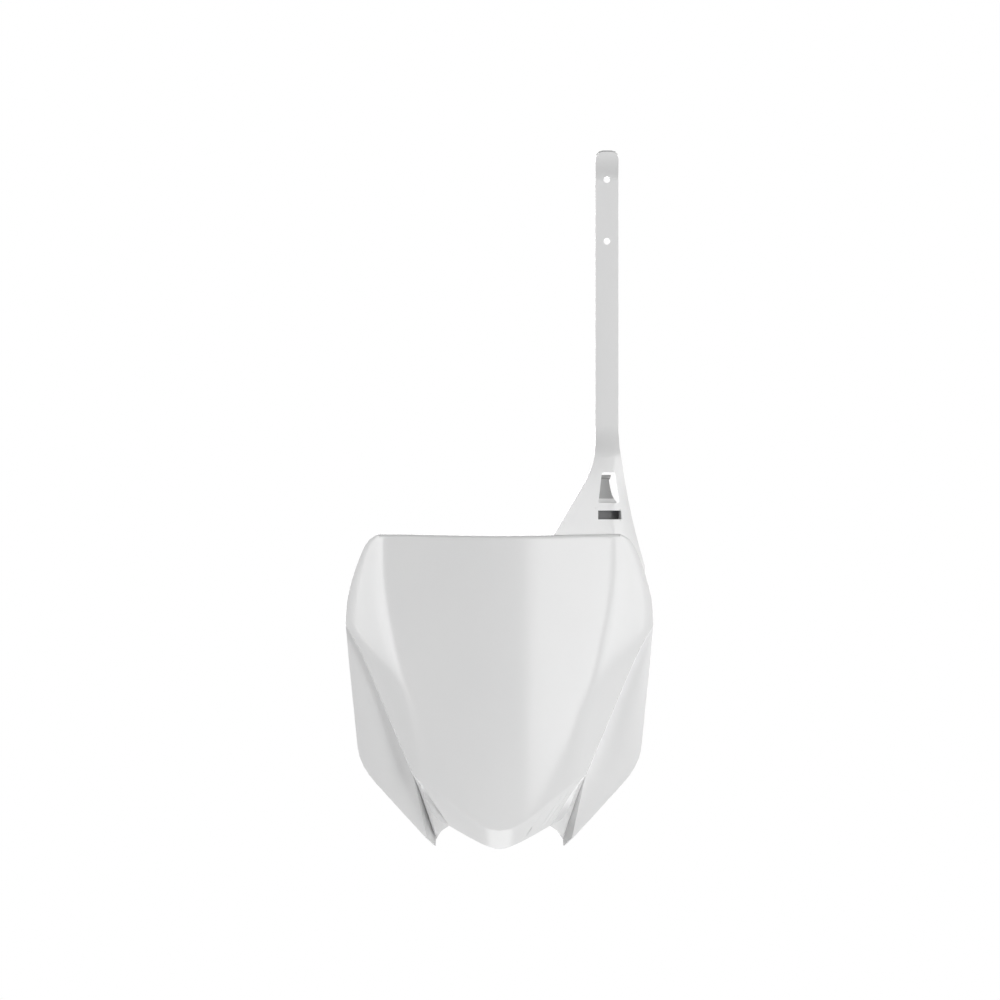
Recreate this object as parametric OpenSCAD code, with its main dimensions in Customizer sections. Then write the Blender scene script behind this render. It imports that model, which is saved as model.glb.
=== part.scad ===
// Front number board of a motocross bike, moulded in one piece in white polypropylene.
// It faces -Y, +Z is up. The origin is midway between the two lower locating holes.

/* [Board] */
// Width of the board across its upper side edges
board_w = 245; // [225:1:260]
// Height of the board from the chin to the top corners
board_h = 247.6; // [235:1:258]
// Wall thickness of the board
wall = 2; // [1.8:0.1:2.4]
// Slope of the two front faces, in degrees
face_slope = 12; // [8:1:15]
// Slope of the outer faces, in degrees
side_slope = 38; // [32:1:42]
// How far the face is bowed from top to bottom
crown = 5; // [2:1:8]
// Radius of the rolled edge
edge_r = 3; // [2.8:0.1:3.4]
// Depth of the return lip round the top and the upper sides
lip_depth = 8; // [6.5:0.5:11]

/* [Wings] */
// Height of the step between the face and the wing at its lower end
step_depth = 20; // [17:0.5:22]
// Downward tilt of the wing, in degrees
wing_tilt = 2; // [0:0.5:4]
// Depth of the return lip along the outer edge of the wing
wing_lip = 5; // [3.5:0.5:7]
// Depth of the fold between the wing and the chin
fold_depth = 11; // [9:1:14]

/* [Chin] */
// How far the chin runs back below the face
chin_depth = 13; // [10:1:16]
// Height of the chin on the centre line
chin_h = 15.6; // [13:0.2:18]

/* [Strap] */
// Height of the strap's end above the chin
strap_top = 550; // [520:1:580]
// Width of the strap
strap_w = 18.3; // [17:0.1:21]
// Thickness of the strap and its gusset
strap_t = 2.6; // [2.2:0.1:3.2]
// Distance of the strap from the middle of the board
strap_x = 85.2; // [80:0.2:88]
// How far the strap stands behind the front of the board
strap_y = 44; // [38:1:48]
// Height at which the gusset runs into the straight strap
gusset_top = 325; // [318:1:335]
// Angle by which the strap's tip is bent forward, in degrees
tip_angle = 30; // [20:1:38]
// Diameter of the strap's two holes
hole_d = 5; // [4.5:0.1:5.5]
// Distance between the strap's two holes
hole_pitch = 49; // [44:0.5:54]

/* [Locating holes] */
// Diameter of the two lower locating holes
lug_hole_d = 7; // [6:0.5:8]
// Distance between the two lower locating holes
lug_pitch = 50; // [44:1:56]

/* [Hidden] */
$fn = 32;
plastic = [0.9, 0.9, 0.9];

half_w = board_w / 2;
// Corner, widest point and lower end of the face in the front view
corner_x = half_w * 0.777;
wide_z = board_h * 0.708;
foot_z = board_h * 0.232;
foot_x = half_w * 0.552;
// Centre line of the face
top_dip = 1.2;
crown_z = board_h * 0.525;
// Rounding of the centre ridge and of the two side ridges
centre_soft = 27;
ridge_soft = 6;
// Band along the crease over which the face bends further back, and its extra slope there
crease_band = 22;
crease_fall = 0.38;
// Grid of the face, from the centre out and from the top down
ridge_column = 9;
side_shares = [0.14, 0.32, 0.54, 0.77, 1];
columns = ridge_column + len(side_shares);
upper_rows = 11;
lower_rows = 12;
rows = upper_rows + lower_rows;
roll_steps = 4;
// Places of the fold's cross lines, from the face's lower corner to the chin's end
fold_steps = [0, 0.2, 0.45, 0.7, 0.86, 1];
pad_columns = len(fold_steps) - 1;
// The wing and the valley run on below the web's end as a short tail
web_share = 0.9;
tail_steps = concat(web_share * fold_steps, [1]);
fold_rows = len(tail_steps) - 1;

// Basic functions
function mix(a, b, s) = a + (b - a) * s;
function clamp01(s) = min(1, max(0, s));
function smooth(s) = let (c = clamp01(s)) c * c * (3 - 2 * c);
function unit(v) = v / norm(v);
function across(v) = [v[1], -v[0]];
// Ramp that starts at 0 and is rounded over w on both sides
function ramp(u, w) = u <= -w ? 0 : u >= w ? u : (u + w) * (u + w) / (4 * w);

// Smooth curve y(x) through a few points sorted by falling x
function slope_at(p, i) =
    let (a = max(0, i - 1), b = min(len(p) - 1, i + 1))
    (p[b][1] - p[a][1]) / (p[b][0] - p[a][0]);
function span_of(p, x, i = 0) = i >= len(p) - 2 || x >= p[i + 1][0] ? i : span_of(p, x, i + 1);
function curve(p, x) =
    let (i = span_of(p, x), h = p[i + 1][0] - p[i][0], s = (x - p[i][0]) / h)
    (1 + 2 * s) * (1 - s) * (1 - s) * p[i][1] + s * (1 - s) * (1 - s) * h * slope_at(p, i)
    + s * s * (3 - 2 * s) * p[i + 1][1] - s * s * (1 - s) * h * slope_at(p, i + 1);

// Outline of the face as half width over height
upper_side = [
    [board_h, corner_x],
    [board_h * 0.987, half_w * 0.83],
    [board_h * 0.962, half_w * 0.869],
    [board_h * 0.917, half_w * 0.909],
    [board_h * 0.852, half_w * 0.955],
    [board_h * 0.788, half_w * 0.986],
    [wide_z, half_w * 0.998]
];
crease_side = [
    [wide_z, half_w * 0.998],
    [board_h * 0.651, half_w * 0.928],
    [board_h * 0.598, half_w * 0.872],
    [board_h * 0.409, half_w * 0.708],
    [foot_z, foot_x]
];
function side_x(z) = z >= wide_z ? curve(upper_side, z) : curve(crease_side, z);
// Lower edge of the face and lower edge of the chin as height over x
function rounded_v(x, steep, soft) = sqrt(soft * soft + steep * steep * x * x) - soft;
function face_low(x) = chin_h + 0.5 + rounded_v(x, 0.85, 16) - 2.2 * smooth((x - foot_x + 9.6) / 9.6);
function chin_low(x) = 0.3 + rounded_v(x, 0.58, 6);
function face_top(x) = board_h - top_dip * (1 - smooth(x / corner_x));
// Line of the side ridge
function ridge_x(z) = half_w * mix(0.512, 0.747, smooth((z / board_h - 0.2) / 0.72));

// Line of the crease above the wing, run on straight below the face's lower corner
crease_lean = (crease_side[3][1] - foot_x) / (crease_side[3][0] - foot_z);
function crease_x(z) = z >= foot_z ? side_x(z) : foot_x - crease_lean * (foot_z - z);
function crease_roll(x, z) =
    let (band = crease_band * smooth(1.8 * (wide_z - z) / (wide_z - foot_z)))
    crease_fall * ramp(band - crease_x(z) + abs(x), band / 2);

// Depth of the face behind its front, at x and z
function round_abs(x) = abs(x) < centre_soft ? x * x / (2 * centre_soft) : abs(x) - centre_soft / 2;
function face_y(x, z) =
    crown * pow((z - crown_z) / (board_h - crown_z), 2)
    + tan(face_slope) * round_abs(x)
    + (tan(side_slope) - tan(face_slope)) * ramp(abs(x) - ridge_x(z), ridge_soft)
    + crease_roll(x, z);
function on_face(p) = [p[0], face_y(p[0], p[1]), p[1]];
function outward(p, n) =
    let (d = 0.5) unit([n[0], (face_y(p[0] + n[0] * d, p[1] + n[1] * d)
        - face_y(p[0] - n[0] * d, p[1] - n[1] * d)) / (2 * d), n[1]]);
function face_back(p) =
    let (d = 0.5,
        gx = (face_y(p[0] + d, p[1]) - face_y(p[0] - d, p[1])) / (2 * d),
        gz = (face_y(p[0], p[1] + d) - face_y(p[0], p[1] - d)) / (2 * d))
    unit([-gx, 1, -gz]);

// Depth of the wing behind the front, at x and z
foot_y = face_y(foot_x, foot_z) + step_depth;
// The wing meets the face's widest point just behind its rolled edge
wide_x = crease_side[0][1];
wing_meet = 3;
wing_rise = face_y(wide_x, wide_z) + wing_meet - foot_y + tan(wing_tilt) * (wide_z - foot_z);
wing_lean = wing_rise / (wide_x - foot_x);
function wing_y(x, z) = foot_y + wing_lean * (x - foot_x) - tan(wing_tilt) * (z - foot_z);
function on_wing(p) = [p[0], wing_y(p[0], p[1]), p[1]];

// Positions of the face's grid lines at a given height
function column_x(i, z) =
    let (r = ridge_x(z), gap = side_x(z) - r, inner = r - ridge_soft * min(1, gap / 12))
    i < ridge_column ? inner * i / (ridge_column - 1) :
    i == ridge_column ? r : r + gap * side_shares[i - ridge_column - 1];
function row_z(j) = j <= upper_rows ? mix(board_h, wide_z, pow(j / upper_rows, 1.7))
    : mix(wide_z, foot_z, (j - upper_rows) / lower_rows);
function row_share(j) = (board_h - row_z(j)) / (board_h - foot_z);

// Closed loop round the face in the front view, from the top centre clockwise on the +X side
half_loop = concat(
    [for (i = [0:columns - 1]) let (x = column_x(i, board_h)) [x, face_top(x)]],
    [for (j = [0:rows]) let (z = row_z(j)) [side_x(z), z]],
    [for (i = [columns - 1:-1:0]) let (x = column_x(i, foot_z)) [x, face_low(x)]]
);
half_count = len(half_loop);
function loop_index(k) = k < half_count ? k : 2 * half_count - 2 - k;
loop_count = 2 * half_count - 2;
function side_sign(k) = k < half_count ? 1 : -1;

// Inner corner of the fold beside the chin, and the ends of the folded sheet
fold_in = [foot_x * 0.938, foot_z - 2.8];
pad_bow = [foot_x * 0.787, board_h * 0.175];
pad_knee = [foot_x * 0.65, board_h * 0.12];
pad_low = [foot_x * 0.652, board_h * 0.098];
chin_end = [foot_x * 0.587, chin_low(foot_x * 0.587)];
// Line where the chin meets the folded sheet, s from 0 at the face to 1 at the chin's end
pad_line = [[foot_x, foot_z - 0.6], fold_in, pad_bow, pad_knee, pad_low, chin_end];
pad_steps = [0, 0.12, 0.42, 0.68, 0.84, 1];
function pad_span(s, i = 0) = i >= len(pad_steps) - 2 || s <= pad_steps[i + 1] ? i : pad_span(s, i + 1);
function pad_point(s) = let (i = pad_span(s))
    mix(pad_line[i], pad_line[i + 1], (s - pad_steps[i]) / (pad_steps[i + 1] - pad_steps[i]));
chin_end_y = face_y(chin_end[0], face_low(chin_end[0])) + chin_depth;
function pad_y(s) = mix(foot_y, chin_end_y, pow(s, 0.3));

// Draft of the wall between the face and the wing
wall_draft = 0.08;
// End of the return behind each point of the half loop
face_corner = columns + rows;
crease_first = columns + upper_rows;
chin_first = face_corner + pad_columns;
function return_end(k) =
    let (p = half_loop[k], b = half_count - 1 - k)
    k <= crease_first ? [p[0], mix(face_y(p[0], p[1]) + lip_depth, wing_y(p[0], p[1]),
        smooth((k - columns) / upper_rows)), p[1]] :
    k <= face_corner ? on_wing(p + wall_draft * (wing_y(p[0], p[1]) - face_y(p[0], p[1])) * loop_normal(k)) :
    k <= chin_first ? let (s = fold_steps[k - face_corner], q = pad_point(s)) [q[0], pad_y(s), q[1]] :
    let (x = chin_end[0] * pow(b / (columns - pad_columns), 1.05))
        [x, mix(face_y(0, chin_h) + chin_depth, chin_end_y, pow(x / chin_end[0], 2)), chin_low(x)];

function loop_normal(k) =
    let (a = k == 0 ? [-half_loop[1][0], half_loop[1][1]] : half_loop[k - 1],
        b = k == half_count - 1 ? [-half_loop[k - 1][0], half_loop[k - 1][1]] : half_loop[k + 1])
    unit(-across(unit(b - half_loop[k]) + unit(half_loop[k] - a)));

// Rolled edge at one point of the half loop: outer and inner points of each step and of the end
function edge_frame(k) =
    let (p = half_loop[k], n = loop_normal(k), t = outward(p, n), corner = on_face(p),
        e = return_end(k), d = unit(e - corner), turn = acos(t * d), m = unit(d - (t * d) * t),
        start = corner - t * edge_r * tan(turn / 2), centre = start + m * edge_r)
    [start, centre, t, m, turn, e];
frames = [for (k = [0:half_count - 1]) edge_frame(k)];
function roll_dir(f, q) = let (a = f[4] * q / roll_steps) sin(a) * f[2] - cos(a) * f[3];
function ring_point(k, q, depth) =
    let (f = frames[k])
    q > roll_steps ? f[5] - depth * roll_dir(f, roll_steps) : f[1] + (edge_r - depth) * roll_dir(f, q);

function mirrored(p, sgn) = [sgn * p[0], p[1], p[2]];
last_ring = roll_steps + 1;

// Inner points of the face's grid
function inner_point(i, j, depth) =
    let (top = frames[i][0], low = frames[half_count - 1 - i][0], zo = row_z(j),
        inset = frames[columns + j][0][0] / column_x(columns, zo),
        p = [column_x(i, zo) * mix(1, inset, smooth(i / columns)), mix(top[2], low[2], row_share(j))])
    on_face(p) + depth * face_back(p);
function face_point(i, j, depth) =
    let (a = abs(i), sgn = i < 0 ? -1 : 1,
        k = j == 0 ? a : j == rows ? half_count - 1 - a : a == columns ? columns + j : -1)
    k >= 0 ? mirrored(ring_point(k, 0, depth), sgn) : mirrored(inner_point(a, j, depth), sgn);

// Numbers of the skin's points: first the face, then the rings of its edge, then the two wings
face_w = 2 * columns + 1;
face_count = face_w * (rows + 1);
function face_id(i, j) = j * face_w + i + columns;
function rim_id(k) =
    let (h = loop_index(k), sgn = side_sign(k))
    h <= columns ? face_id(sgn * h, 0) :
    h <= columns + rows ? face_id(sgn * columns, h - columns) :
    face_id(sgn * (half_count - 1 - h), rows);
function ring_id(q, k) = let (c = (k + loop_count) % loop_count)
    q == 0 ? rim_id(c) : face_count + (q - 1) * loop_count + c;
tray_count = face_count + last_ring * loop_count;
tray_faces = concat(
    [for (j = [0:rows - 1]) for (i = [-columns:columns - 1])
        each [[face_id(i, j), face_id(i + 1, j), face_id(i + 1, j + 1)],
            [face_id(i, j), face_id(i + 1, j + 1), face_id(i, j + 1)]]],
    [for (q = [0:roll_steps]) for (k = [0:loop_count - 1]) each ring_faces(q, k)]
);
function ring_faces(q, k) =
    [[ring_id(q, k), ring_id(q + 1, k), ring_id(q + 1, k + 1)],
        [ring_id(q, k), ring_id(q + 1, k + 1), ring_id(q, k + 1)]];
function loop_ring(q, depth) =
    [for (k = [0:loop_count - 1]) mirrored(ring_point(loop_index(k), q, depth), side_sign(k))];
tray_points = concat(
    [for (j = [0:rows]) for (i = [-columns:columns]) face_point(i, j, 0)],
    [for (q = [1:last_ring]) each loop_ring(q, 0)]
);

// Wing as a grid from the crease out to its edge and lip, its rows running down to the tip
wing_tip_z = 6.4;
wing_corner_w = 12;
wing_rows = lower_rows + fold_rows;
wing_columns = 4;
lip_rows = wing_rows - 2;
// The sheet's own bow between its two edges
wing_bow = 1.5;
function wing_line(z) = half_w * 1.001 - (wide_z - z) * 0.0995;
function wing_cut(z) = half_w * 0.441 + (z - 1.3) / 1.084;
function wing_out_x(z) = wing_line(z) - ramp(wing_line(z) - wing_cut(z), wing_corner_w);
function wing_inner(r) =
    r <= lower_rows ? half_loop[crease_first + r] :
    mix([foot_x * 1.016, foot_z + 0.6], [foot_x * 0.852, wing_tip_z], tail_steps[r - lower_rows]);
function wing_outer(r) =
    let (bend_z = board_h * 0.198,
        z = r <= lower_rows ? mix(wide_z - 1.5, bend_z, pow(r / lower_rows, 0.62))
            : mix(bend_z, wing_tip_z + 1.4, tail_steps[r - lower_rows]))
    [wing_out_x(z), z];
function wing_point(r, c) =
    let (s = min(1, c / (wing_columns - 1)), a = wing_inner(r), b = wing_outer(r), p = mix(a, b, s),
        bow = wing_bow * 4 * s * (1 - s) * norm(b - a) / half_w)
    on_wing(p) + [0, (c == wing_columns ? wing_lip : 0) - bow, 0];

// Fold between the wing and the chin: valley line and edge of the light pad, s from 0 to 1
valley_start = [foot_x, foot_z - 1.5];
valley_knee = [foot_x * 0.748, wing_tip_z - 2.3];
valley_end = [foot_x * 0.752, wing_tip_z - 7.6];
function valley_point(s) =
    let (p = s < web_share ? mix(valley_start, valley_knee, s / web_share)
        : mix(valley_knee, valley_end, (s - web_share) / (1 - web_share)))
    [p[0], wing_y(p[0], p[1]) + fold_depth * pow(s, 0.8), p[1]];
pad_corner = [foot_x * 0.8, board_h * 0.122];
pad_tip = [foot_x * 0.732, board_h * 0.095];
function pad_edge_point(s) =
    let (p = s < 0.7 ? mix([foot_x * 0.965, foot_z - 1], pad_corner, s / 0.7)
        : mix(pad_corner, pad_tip, (s - 0.7) / 0.16))
    [p[0], pad_y(s) + 1.5 * sin(180 * s), p[1]];
chin_corner = [chin_end[0], chin_end_y, chin_end[1]];
// Middle of the dark web, drawn in at its lower end so that the web's free edge is hollow
web_draw = 0.97;
function web_point(s) = mix(s < 1 ? pad_edge_point(s * web_draw) : mix(chin_corner, pad_edge_point(0.86), 0.15),
    valley_point(s * web_draw * web_share), 0.5);

// Numbers of the wing's points on the +X side; its inner edge is the end of the face's wall
function wing_id(r, c) =
    r == 0 ? ring_id(last_ring, crease_first) :
    c == 0 && r <= lower_rows ? ring_id(last_ring, crease_first + r) :
    c == wing_columns && r > lip_rows ? wing_id(r, c - 1) :
    tray_count + (r - 1) * (wing_columns + 1) + c;
fold_first = tray_count + wing_rows * (wing_columns + 1);
fold_columns = 4;
function fold_id(j, c) =
    c == 0 || (c == 1 && j == pad_columns) ? ring_id(last_ring, face_corner + j) :
    c == fold_columns ? wing_id(lower_rows + j, 0) :
    j == 0 ? ring_id(last_ring, face_corner) : fold_first + (j - 1) * (fold_columns - 1) + c - 1;
wing_points = concat(
    [for (r = [1:wing_rows]) for (c = [0:wing_columns]) wing_point(r, c)],
    [for (j = [1:fold_rows]) let (s = fold_steps[min(j, pad_columns)])
        each [pad_edge_point(s), web_point(s), valley_point(tail_steps[j])]]
);
wing_count = len(wing_points);
function is_triangle(f) = f[0] != f[1] && f[1] != f[2] && f[2] != f[0];
function cell(a, b, c, d) = [for (f = [[a, b, c], [a, c, d]]) if (is_triangle(f)) f];
wing_faces = concat(
    [for (r = [0:wing_rows - 1]) for (c = [0:wing_columns - 1])
        each cell(wing_id(r, c), wing_id(r, c + 1), wing_id(r + 1, c + 1), wing_id(r + 1, c))],
    [for (j = [0:fold_rows - 1]) for (c = [j < pad_columns ? 0 : fold_columns - 1:fold_columns - 1])
        each cell(fold_id(j, c), fold_id(j, c + 1), fold_id(j + 1, c + 1), fold_id(j + 1, c))]
);
wing_rim = concat(
    [for (r = [0:wing_rows - 1]) [wing_id(r, wing_columns), wing_id(r + 1, wing_columns)]],
    [for (c = [wing_columns:-1:1]) [wing_id(wing_rows, c), wing_id(wing_rows, c - 1)]],
    [[fold_id(fold_rows, fold_columns), fold_id(fold_rows, fold_columns - 1)],
        [fold_id(fold_rows, fold_columns - 1), fold_id(pad_columns, fold_columns - 1)]],
    [for (c = [fold_columns - 1:-1:1]) [fold_id(pad_columns, c), fold_id(pad_columns, c - 1)]]
);

// Back of a sheet: each point moved in by the wall, mitred between the triangles that meet there
function tri_normal(p, f) = unit(cross(p[f[2]] - p[f[0]], p[f[1]] - p[f[0]]));
function sum(v, i = 0) = i == len(v) - 1 ? v[i] : v[i] + sum(v, i + 1);
function moved_in(p, faces, normals, i, t) =
    let (near = [for (k = [0:len(faces) - 1]) if (len([for (v = faces[k]) if (v == i) 1]) > 0) normals[k]],
        m = len(near) == 0 ? [0, 0, 0] : unit(sum(near)),
        c = len(near) == 0 ? 1 : max(0.5, sum([for (n = near) n * m]) / len(near)))
    p[i] - m * t / c;

half_skin = concat(tray_points, wing_points);
seam_faces = concat(wing_faces,
    [for (k = [crease_first - 1:chin_first]) each ring_faces(roll_steps, k)]);
seam_normals = [for (f = seam_faces) tri_normal(half_skin, f)];
seam_back = [for (k = [crease_first:chin_first])
    moved_in(half_skin, seam_faces, seam_normals, ring_id(last_ring, k), wall)];
wing_back = [for (i = [tray_count:tray_count + wing_count - 1])
    moved_in(half_skin, wing_faces, seam_normals, i, wall)];
function back_ring_point(k) =
    let (h = loop_index(k))
    mirrored(h >= crease_first && h <= chin_first ? seam_back[h - crease_first]
        : ring_point(h, last_ring, wall), side_sign(k));

// Whole skin, front then back, and the rim that joins them
function left_id(i) = i >= tray_count ? i + wing_count :
    let (k = (i - face_count) % loop_count) i - k + (loop_count - k) % loop_count;
function flipped(v) = [for (p = v) mirrored(p, -1)];
skin_count = tray_count + 2 * wing_count;
front_points = concat(tray_points, wing_points, flipped(wing_points));
back_points = concat(
    [for (j = [0:rows]) for (i = [-columns:columns]) face_point(i, j, wall)],
    [for (q = [1:roll_steps]) each loop_ring(q, wall)],
    [for (k = [0:loop_count - 1]) back_ring_point(k)],
    wing_back, flipped(wing_back)
);
front_faces = concat(
    tray_faces,
    wing_faces,
    [for (f = wing_faces) [left_id(f[2]), left_id(f[1]), left_id(f[0])]]
);
rim_edges = concat(
    [for (k = [0:loop_count - 1]) let (h = min(loop_index(k), loop_index(k + 1)))
        if (h < crease_first || h >= chin_first) [ring_id(last_ring, k), ring_id(last_ring, k + 1)]],
    [for (e = wing_rim) if (e[0] != e[1]) e],
    [for (e = wing_rim) if (e[0] != e[1]) [left_id(e[1]), left_id(e[0])]]
);

// Board with its rolled edge, lip, side walls, wings, folds and chin
module board() {
    polyhedron(
        concat(front_points, back_points),
        concat(
            front_faces,
            [for (f = front_faces) [f[2] + skin_count, f[1] + skin_count, f[0] + skin_count]],
            [for (e = rim_edges) each [[e[0], e[0] + skin_count, e[1] + skin_count],
                [e[0], e[1] + skin_count, e[1]]]]
        )
    );
}

// Gusset and strap as one sheet, from behind the face's top edge up to the strap's tip
lip_seat = 4;
gusset_left = [strap_x - 42.3, board_h - 5];
gusset_right = [half_w * 0.943, board_h * 0.844];
bend_z = gusset_top + 4;
left_x0 = strap_x - strap_w / 2;
// Lean of the gusset's left edge, with the rounding where it runs into the strap
gusset_lean = 0.597;
gusset_soft = 9;
function left_x(z) = left_x0
    - ramp(left_x0 - gusset_left[0] - gusset_lean * (z - gusset_left[1]) + gusset_soft / 3, gusset_soft);
function right_x(z) = strap_x + strap_w / 2 + 0.16 * ramp(gusset_top - 3 - z, 8)
    + 0.0011 * pow(max(0, gusset_top - 35 - z), 2);
gusset_rows = 9;
gusset_columns = 7;
function gusset_base(a) = let (p = mix([left_x(gusset_left[1]), gusset_left[1]], gusset_right, a))
    face_y(p[0], p[1]) + lip_seat;
function gusset_point(r, c) =
    let (s = r / gusset_rows, a = c / (gusset_columns - 1),
        zl = mix(gusset_left[1], bend_z, s), zr = mix(gusset_right[1], bend_z, s),
        xr = mix(gusset_right[0], right_x(zr), smooth(s * 5)),
        x = mix(left_x(zl), xr, a))
    [x, mix(gusset_base(a), strap_y, s), mix(zl, zr, a)];
// Rounding of the tip's corners, length of the tip above its bend, and rounding of the bend
tip_r = 5.5;
tip_l = 15;
tip_soft = 4;
tip_z = strap_top - tip_l;
strap_rows = concat(
    [for (s = [0.02, 0.35, 0.68]) [mix(bend_z, tip_z, s), 0]],
    [for (t = [-2:1]) [tip_z + t * tip_soft, 0]],
    [for (a = [0:30:90]) [strap_top - tip_r * (1 - sin(a)), tip_r * (1 - cos(a))]]
);
function strap_point(row, c) =
    let (half = strap_w / 2 - row[1])
    [strap_x + half * (2 * c / (gusset_columns - 1) - 1),
        strap_y - tan(tip_angle) * ramp(row[0] - tip_z, tip_soft), row[0]];
strap_skin = concat(
    [for (r = [len(strap_rows) - 1:-1:0]) for (c = [0:gusset_columns - 1]) strap_point(strap_rows[r], c)],
    [for (r = [gusset_rows:-1:0]) for (c = [0:gusset_columns - 1]) gusset_point(r, c)]
);
strap_lines = len(strap_rows) + gusset_rows + 1;
function strap_id(r, c) = r * gusset_columns + c;
strap_faces = [for (r = [0:strap_lines - 2]) for (c = [0:gusset_columns - 2])
    each cell(strap_id(r, c), strap_id(r, c + 1), strap_id(r + 1, c + 1), strap_id(r + 1, c))];
strap_rim = concat(
    [for (c = [0:gusset_columns - 2]) [strap_id(0, c), strap_id(0, c + 1)]],
    [for (r = [0:strap_lines - 2]) [strap_id(r, gusset_columns - 1), strap_id(r + 1, gusset_columns - 1)]],
    [for (c = [gusset_columns - 1:-1:1]) [strap_id(strap_lines - 1, c), strap_id(strap_lines - 1, c - 1)]],
    [for (r = [strap_lines - 1:-1:1]) [strap_id(r, 0), strap_id(r - 1, 0)]]
);
module strap_sheet() {
    n = len(strap_skin);
    normals = [for (f = strap_faces) tri_normal(strap_skin, f)];
    polyhedron(
        concat(strap_skin, [for (i = [0:n - 1]) moved_in(strap_skin, strap_faces, normals, i, strap_t)]),
        concat(
            strap_faces,
            [for (f = strap_faces) [f[2] + n, f[1] + n, f[0] + n]],
            [for (e = strap_rim) each [[e[0], e[0] + n, e[1] + n], [e[0], e[1] + n, e[1]]]]
        )
    );
}
top_hole_z = strap_top - 21.3;
module strap_hole(z) translate([strap_x, 0, z]) rotate([-90, 0, 0]) cylinder(d = hole_d, h = board_w);

// Depth of the gusset's front at x and z, found by going to and fro between its two grid directions
function gusset_y(x, z, a = 0.5, n = 8) =
    let (base = mix(gusset_left[1], gusset_right[1], a), s = (z - base) / (bend_z - base))
    n == 0 ? mix(gusset_base(a), strap_y, s) :
    let (xl = left_x(mix(gusset_left[1], bend_z, s)), xr = right_x(mix(gusset_right[1], bend_z, s)))
    gusset_y(x, z, clamp01((x - xl) / (xr - xl)), n - 1);

// Window with the hook behind it, and slot with the loop behind it, as offsets from the strap's middle
window_drop = 28.6;
window_h = 24.2;
window_low = [-7.1, 9.6];
window_high = [-4.2, 5.9];
window_r = 1.2;
window_z = [gusset_top - window_drop - window_h, gusset_top - window_drop];
slot_gap = 6;
slot_h = 7;
slot_z = [window_z[0] - slot_gap - slot_h, window_z[0] - slot_gap];
slot_x = [-7.4, 9.6];
slot_ramp = 3.6;
loop_wall = 2;
loop_depth = 16;
loop_z = [slot_z[0] - 3.4, slot_z[1] + 2.6];
through = 60;
module upright() rotate([90, 0, 0]) linear_extrude(through, center = true) children();
module window() {
    translate([strap_x, strap_y, 0])
        upright()
            offset(r = window_r)
                offset(delta = -window_r)
                    polygon([[window_low[0], window_z[0]], [window_low[1], window_z[0]],
                        [window_high[1], window_z[1]], [window_high[0], window_z[1]]]);
}
// Strip behind the gusset between two x places, from depth a to depth b behind its front, over zs
module behind_gusset(xs, a, b, zs) {
    z = slot_z[0];
    y0 = gusset_y(strap_x + xs[0], z);
    y1 = gusset_y(strap_x + xs[1], z);
    translate([strap_x, 0, zs[0]])
        linear_extrude(zs[1] - zs[0])
            polygon([[xs[0], y0 + a], [xs[1], y1 + a], [xs[1], y1 + b], [xs[0], y0 + b]]);
}
module loop_body() {
    behind_gusset([slot_x[0] - loop_wall, slot_x[1] + slot_ramp + loop_wall],
        strap_t / 2, loop_depth, loop_z);
}
// The strap's end goes in at the slot, and the keeper behind is open towards the middle and below
module loop_passage() {
    behind_gusset(slot_x, -loop_depth, loop_depth - loop_wall, slot_z);
    behind_gusset([slot_x[0] - 2 * loop_wall, slot_x[1]], strap_t + loop_wall, loop_depth - loop_wall,
        [loop_z[0] - 1, slot_z[1]]);
    z = slot_z[0];
    y = gusset_y(strap_x + slot_x[1], z);
    translate([strap_x + slot_x[1] - 1, 0, z])
        linear_extrude(slot_z[1] - z)
            polygon([[0, y - 6], [slot_ramp + 3, y - 6], [slot_ramp + 1, y + 0.8], [0, y + strap_t + 2.4]]);
}
// Outline of the hook: left edge, blunt head, waist, flared base and foot
hook_width = [[-8.4, window_z[0] - 6], [-5.4, window_z[1] - 2], [3.1, window_z[1] - 2],
    [2.6, window_z[1] - 4.5], [1.5, window_z[1] - 6.2], [2.1, window_z[1] - 10], [2.9, window_z[1] - 14],
    [3.9, window_z[0] + 6.3], [6.1, window_z[0] + 2.3], [7.6, window_z[0] + 0.8], [4.6, window_z[0] - 3], [4, window_z[0] - 6]];
module hook() {
    low = window_z[0];
    high = window_z[1];
    front = strap_t + 2.9;
    back = front + 2.5;
    barb = 2.2;
    function at(z, d) = [gusset_y(strap_x, z) + d, z];
    intersection() {
        translate([strap_x, strap_y, 0]) upright() polygon(hook_width);
        translate([strap_x - strap_w / 2, 0, 0])
            rotate([90, 0, 90])
                linear_extrude(strap_w)
                    polygon([at(low - 5.2, strap_t * 0.75), at(low + 1, front), at(high - 5, front),
                        at(high - 4.3, front - barb), at(high - 2, front), at(high - 2, back),
                        at(low + 1, back), at(low - 5.2, front)]);
    }
}

module strap() {
    difference() {
        union() {
            strap_sheet();
            loop_body();
            hook();
        }
        strap_hole(top_hole_z);
        strap_hole(top_hole_z - hole_pitch);
        loop_passage();
        difference() {
            window();
            hook();
        }
    }
}

// Lower locating lugs behind the chin, which drop over two upright pins
lug_z = board_h * 0.137;
lug_y = 36;
lug_t = 4;
lug_r = 8;
rib_t = 2.4;
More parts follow.
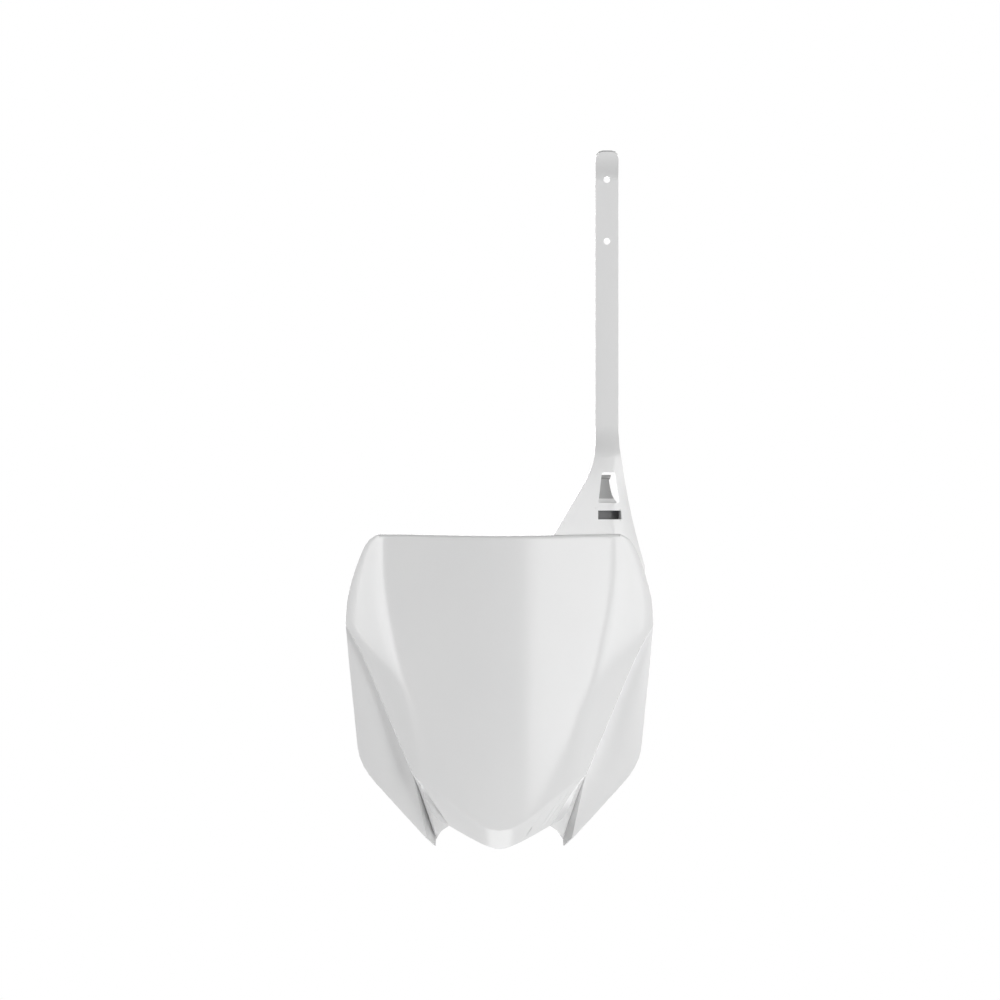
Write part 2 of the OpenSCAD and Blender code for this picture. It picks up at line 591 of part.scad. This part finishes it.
// How far the rib's edge lies inside the chin's wall, as a share of the wall
rib_seat = 0.8;
module lug() {
    x = lug_pitch / 2;
    function root(x) = face_y(x, lug_z) + wall / 2;
    low = face_low(x);
    lug_top = lug_z + lug_t;
    chin_y = mix(face_y(0, chin_h) + chin_depth, chin_end_y, pow(x / chin_end[0], 2));
    drop = unit([chin_y - face_y(x, low), chin_low(x) - low]);
    inside = wall * rib_seat * [-drop[1], drop[0]];
    top_in = [face_y(x, low), low] + inside + 1.5 * drop;
    low_in = [chin_y, chin_low(x)] + inside - 3 * drop;
    difference() {
        union() {
            translate([x, lug_y, lug_z]) cylinder(r = lug_r, h = lug_t);
            translate([0, 0, lug_z])
                linear_extrude(lug_t)
                    polygon([[x - lug_r, root(x - lug_r)], [x + lug_r, root(x + lug_r)],
                        [x + lug_r, lug_y], [x - lug_r, lug_y]]);
            translate([x - rib_t / 2, 0, 0])
                rotate([90, 0, 90])
                    linear_extrude(rib_t)
                        polygon([[root(x), lug_top - 1], top_in, low_in, [lug_y - lug_r, lug_z + 1],
                            [lug_y - lug_r, lug_top - 1]]);
        }
        translate([x, lug_y, lug_z - 1]) cylinder(d = lug_hole_d, h = lug_t + 2);
    }
}

module number_board() {
    translate([0, -lug_y, -lug_z - lug_t / 2])
        union() {
            board();
            strap();
            lug();
            mirror([1, 0, 0]) lug();
        }
}

color(plastic) number_board();
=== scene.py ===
# Front number board of a motocross bike, photographed straight from the front on pure
# white: one white polypropylene moulding with its strap at the right.
import math

import bmesh
import bpy
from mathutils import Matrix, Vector


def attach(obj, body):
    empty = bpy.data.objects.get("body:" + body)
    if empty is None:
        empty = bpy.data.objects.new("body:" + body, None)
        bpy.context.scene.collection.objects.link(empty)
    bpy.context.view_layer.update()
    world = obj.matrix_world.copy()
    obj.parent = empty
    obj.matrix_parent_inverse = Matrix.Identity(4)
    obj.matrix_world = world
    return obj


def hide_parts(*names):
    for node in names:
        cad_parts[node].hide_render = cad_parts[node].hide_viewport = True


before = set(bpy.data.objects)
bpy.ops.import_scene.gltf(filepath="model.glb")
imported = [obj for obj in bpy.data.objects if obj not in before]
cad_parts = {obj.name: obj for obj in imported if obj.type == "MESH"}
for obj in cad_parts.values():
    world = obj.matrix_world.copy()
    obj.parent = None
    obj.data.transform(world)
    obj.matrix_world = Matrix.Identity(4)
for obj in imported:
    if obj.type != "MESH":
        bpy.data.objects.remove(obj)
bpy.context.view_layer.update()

# Camera: a long lens straight in front of the board, level with the middle of its whole
# height. One pixel of the photograph is 0.78 mm at the board's foremost face.
scene = bpy.context.scene
scene.view_settings.view_transform = "Standard"
face_front_y = -0.036
camera_distance = 2.5
view_width = 0.78
view_middle_x, view_middle_z = 0.0004, 0.2386
camera_data = bpy.data.cameras.new("photo_camera")
camera_data.sensor_width = 36.0
camera_data.lens = camera_data.sensor_width * camera_distance / view_width
camera = bpy.data.objects.new("photo_camera", camera_data)
camera.location = (view_middle_x, face_front_y - camera_distance, view_middle_z)
camera.rotation_euler = (math.radians(90), 0, 0)
scene.collection.objects.link(camera)
scene.camera = camera

# Moulding: face, rolled edge, wings, folds, chin, strap and lugs are one piece of white
# polypropylene about 2 mm thick, so they are one mesh. It is taken from the construction
# model, its loose triangles are joined, and slivers too thin to shade are dissolved.
joined_within = 1e-5
moulding = bmesh.new()
moulding.from_mesh(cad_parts["number_board"].data)
bmesh.ops.remove_doubles(moulding, verts=moulding.verts, dist=joined_within)
bmesh.ops.dissolve_degenerate(moulding, edges=moulding.edges, dist=joined_within)

# Edges: every sharp edge keeps the small radius that the mould gives it. The folds beside
# the chin are shallower than the other creases but just as crisp.
edge_radius = 0.0005
crease_angle = math.radians(28)
fold_angle = math.radians(20)
fold_x = (0.036, 0.070)
fold_z = (-0.038, 0.021)


def is_crisp(edge):
    """Whether an edge is a real crease of the moulding and no part of a smooth curve."""
    if len(edge.link_faces) != 2:
        return True
    middle_x = abs(sum(vert.co.x for vert in edge.verts)) / 2
    middle_z = sum(vert.co.z for vert in edge.verts) / 2
    in_fold = fold_x[0] < middle_x < fold_x[1] and fold_z[0] < middle_z < fold_z[1]
    return edge.calc_face_angle(0) > (fold_angle if in_fold else crease_angle)


for face in moulding.faces:
    face.smooth = True
for edge in moulding.edges:
    edge.smooth = not is_crisp(edge)
board_data = bpy.data.meshes.new("board")
moulding.to_mesh(board_data)
moulding.free()
board = bpy.data.objects.new("board", board_data)
scene.collection.objects.link(board)
rounded = board.modifiers.new("edge_radius", "BEVEL")
rounded.width = edge_radius
rounded.segments = 2
rounded.limit_method = "ANGLE"
rounded.angle_limit = crease_angle


# Plastic: white polypropylene straight from a satin mould. It has the mould's fine spark
# texture, a very faint cloudiness from the flow of the melt, and handling polish in places.
class Value:
    """A number inside a material, whose arithmetic adds Math nodes to its tree."""

    def __init__(self, tree, link):
        self.tree = tree
        self.link = link

    def math(self, operation, *values):
        made = self.tree.nodes.new("ShaderNodeMath")
        made.operation = operation
        for slot, value in zip(made.inputs, values):
            if isinstance(value, Value):
                self.tree.links.new(value.link, slot)
            else:
                slot.default_value = value
        return Value(self.tree, made.outputs[0])

    def __add__(self, other):
        return self.math("ADD", self, other)

    def __sub__(self, other):
        return self.math("SUBTRACT", self, other)

    def __rsub__(self, other):
        return self.math("SUBTRACT", other, self)

    def __mul__(self, other):
        return self.math("MULTIPLY", self, other)

    def at_most(self, top):
        return self.math("MINIMUM", self, top)

    __radd__ = __add__
    __rmul__ = __mul__


class Finish:
    """A material or world tree to which nodes are added by type, settings and inputs."""

    def __init__(self, owner):
        owner.use_nodes = True
        self.tree = owner.node_tree

    def node(self, kind, settings=None, **inputs):
        made = self.tree.nodes.new(kind)
        for name, value in (settings or {}).items():
            setattr(made, name, value)
        for name, value in inputs.items():
            self.put(made, name.replace("_", " "), value)
        return made

    def put(self, made, name, value):
        if isinstance(value, Value):
            self.tree.links.new(value.link, made.inputs[name])
        else:
            made.inputs[name].default_value = value

    def value(self, made, name=0):
        return Value(self.tree, made.outputs[name])

    def noise(self, where, scale, detail):
        made = self.node("ShaderNodeTexNoise", Vector=where, Scale=scale, Detail=detail)
        return self.value(made)

    def stepped(self, value, low, high):
        """0 below low, 1 above high and a smooth rise between."""
        settings = {"interpolation_type": "SMOOTHSTEP"}
        made = self.node("ShaderNodeMapRange", settings, Value=value, From_Min=low, From_Max=high)
        return self.value(made)


cool_white = (0.785, 0.787, 0.790, 1)
warm_white = (0.815, 0.815, 0.812, 1)
satin_roughness = 0.20
polish_range = 0.06
spark_depth = 0.00004
ripple_share = 3.0
white_plastic = bpy.data.materials.new("white_plastic")
plastic = Finish(white_plastic)
shader = plastic.tree.nodes["Principled BSDF"]
texture_place = plastic.node("ShaderNodeTexCoord")
where = plastic.value(texture_place, "Object")
cloud = plastic.noise(where, scale=14.0, detail=3.0)
polish = plastic.noise(where, scale=55.0, detail=4.0)
spark = plastic.noise(where, scale=2600.0, detail=2.0)
ripple = plastic.noise(where, scale=24.0, detail=1.0)
shade = plastic.node("ShaderNodeMix", {"data_type": "RGBA"}, Factor=cloud)
shade.inputs[6].default_value = cool_white
shade.inputs[7].default_value = warm_white
plastic.put(shader, "Roughness", satin_roughness + polish * polish_range)
shader.inputs["IOR"].default_value = 1.49
relief = plastic.node("ShaderNodeBump", Strength=0.25, Distance=spark_depth,
                      Height=spark + ripple * ripple_share)
place = plastic.node("ShaderNodeSeparateXYZ", Vector=where)
x, y, z = (plastic.value(place, axis) for axis in "XYZ")

# Strap bends: the strap has a soft bend at its root and one below its tip. They are drawn
# in the relief alone, as an upward tilt of the front over about 25 mm of its height.
millimetre = 0.001
root_bend = plastic.stepped(z, 0.2719, 0.2980) * 6.5
tip_bend = plastic.stepped(z, 0.4916, 0.5140) * 12.0
bends = plastic.node("ShaderNodeBump", Strength=1.0, Distance=millimetre,
                     Height=0.0 - (root_bend + tip_bend))
plastic.tree.links.new(bends.outputs["Normal"], relief.inputs["Normal"])
plastic.tree.links.new(relief.outputs["Normal"], shader.inputs["Normal"])

# Pocket: the slot and the window open into a deep pocket of the same white moulding. The
# inner walls that face the front are coloured darker by their place, most behind the slot,
# because the lamps reach further in than in the photograph. The outside keeps its white.
pocket_shadow = (0.02, 0.02, 0.021, 1)
slot_darkness = 0.90
window_darkness = 0.52
pocket_x = (0.0760, 0.0960)
slot_z = (0.2220, 0.2315)
window_z = (0.2397, 0.2605)
soft_border = 0.0005
gusset_x, gusset_y, gusset_z = 0.085, -0.0079, 0.2189
gusset_turn, gusset_lean = 0.3, 0.2


def between(value, ends):
    """1 between the two ends and 0 outside them, with a soft border."""
    low, high = ends
    past_low = plastic.stepped(value, low - soft_border, low + soft_border)
    past_high = plastic.stepped(value, high - soft_border, high + soft_border)
    return past_low * (1 - past_high)


facing = plastic.node("ShaderNodeSeparateXYZ", Vector=plastic.value(texture_place, "Normal"))
to_front = 1 - plastic.stepped(plastic.value(facing, "Y"), -0.3, 0.1)
gusset_front = (x - gusset_x) * gusset_turn + (z - gusset_z) * gusset_lean + gusset_y
depth = y - gusset_front
beside = between(x, pocket_x) * to_front
in_slot = beside * between(z, slot_z) * plastic.stepped(depth, 0.0015, 0.0045)
in_window = beside * between(z, window_z) * plastic.stepped(depth, 0.0025, 0.0045)
darkness = (in_slot * slot_darkness + in_window * window_darkness).at_most(slot_darkness)
pocket = plastic.node("ShaderNodeMix", {"data_type": "RGBA"}, Factor=darkness)
plastic.tree.links.new(shade.outputs[2], pocket.inputs[6])
pocket.inputs[7].default_value = pocket_shadow
plastic.tree.links.new(pocket.outputs[2], shader.inputs["Base Color"])
board.data.materials.append(white_plastic)
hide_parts("number_board")
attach(board, "root")

# Floor: a plain pale sheet well below the board, which hangs at about its height on the
# bike. What the camera and reflections see of it is mostly plain white, and the rest is a
# matt surface that takes the shadow.
floor_depth = 0.75
floor_half = 3.0
floor_tone = (0.30, 0.30, 0.30, 1)
floor_whiteness = 0.75
floor_mesh = bmesh.new()
bmesh.ops.create_grid(floor_mesh, x_segments=2, y_segments=2, size=floor_half)
bmesh.ops.translate(floor_mesh, verts=floor_mesh.verts, vec=(0, 0, -floor_depth))
floor_data = bpy.data.meshes.new("floor")
floor_mesh.to_mesh(floor_data)
floor_mesh.free()
floor = bpy.data.objects.new("floor", floor_data)
scene.collection.objects.link(floor)


def shown(finish):
    """1 for what the camera, a reflection or a clear thing shows, and 0 for plain light."""
    rays = finish.node("ShaderNodeLightPath")
    seen = finish.value(rays, "Is Camera Ray") + finish.value(rays, "Is Glossy Ray")
    return (seen + finish.value(rays, "Is Transmission Ray")).at_most(1)


pale_floor = bpy.data.materials.new("pale_floor")
ground = Finish(pale_floor)
matt = ground.tree.nodes["Principled BSDF"]
matt.inputs["Base Color"].default_value = floor_tone
matt.inputs["Roughness"].default_value = 0.9
white_light = ground.node("ShaderNodeEmission", Color=(1, 1, 1, 1), Strength=1.0)
blend = ground.node("ShaderNodeMixShader", Fac=shown(ground) * floor_whiteness)
ground.tree.links.new(matt.outputs["BSDF"], blend.inputs[1])
ground.tree.links.new(white_light.outputs[0], blend.inputs[2])
ground.tree.links.new(blend.outputs[0], ground.tree.nodes["Material Output"].inputs["Surface"])
floor.data.materials.append(pale_floor)

# Surroundings: pure white to the camera, in reflections and through clear things, and no
# plain light of their own.
world = bpy.data.worlds.new("white_studio")
scene.world = world
sky = Finish(world)
sky.tree.nodes.clear()
backdrop = sky.node("ShaderNodeBackground", Color=(1, 1, 1, 1), Strength=shown(sky))
sky.tree.links.new(backdrop.outputs[0], sky.node("ShaderNodeOutputWorld").inputs["Surface"])

# Lamps: large soft boxes on both sides and below, none overhead, and one behind the board
# that lights its back.
aim = Vector((0.0, 0.0, 0.15))


def softbox(name, turn, rise, away, size, power):
    """A rectangular lamp turned round the board by some degrees and raised by others."""
    turned, raised = math.radians(turn), math.radians(rise)
    toward = Vector((math.sin(turned) * math.cos(raised),
                     -math.cos(turned) * math.cos(raised),
                     math.sin(raised)))
    data = bpy.data.lights.new(name, "AREA")
    data.shape = "RECTANGLE"
    data.size, data.size_y = size
    data.energy = power
    lamp = bpy.data.objects.new(name, data)
    lamp.location = aim + away * toward
    lamp.rotation_euler = (-toward).to_track_quat("-Z", "Y").to_euler()
    lamp.visible_camera = False
    scene.collection.objects.link(lamp)


softbox("key_front", turn=31, rise=4, away=2.2, size=(0.78, 1.7), power=19.5)
softbox("key_side", turn=67, rise=8, away=2.2, size=(1.2, 1.7), power=24)
softbox("side_left", turn=-67, rise=8, away=2.2, size=(1.1, 1.7), power=32)
softbox("underside", turn=0, rise=-82, away=0.8, size=(0.5, 0.3), power=1.8)
softbox("back_fill", turn=180, rise=4, away=2.4, size=(1.6, 1.6), power=27)
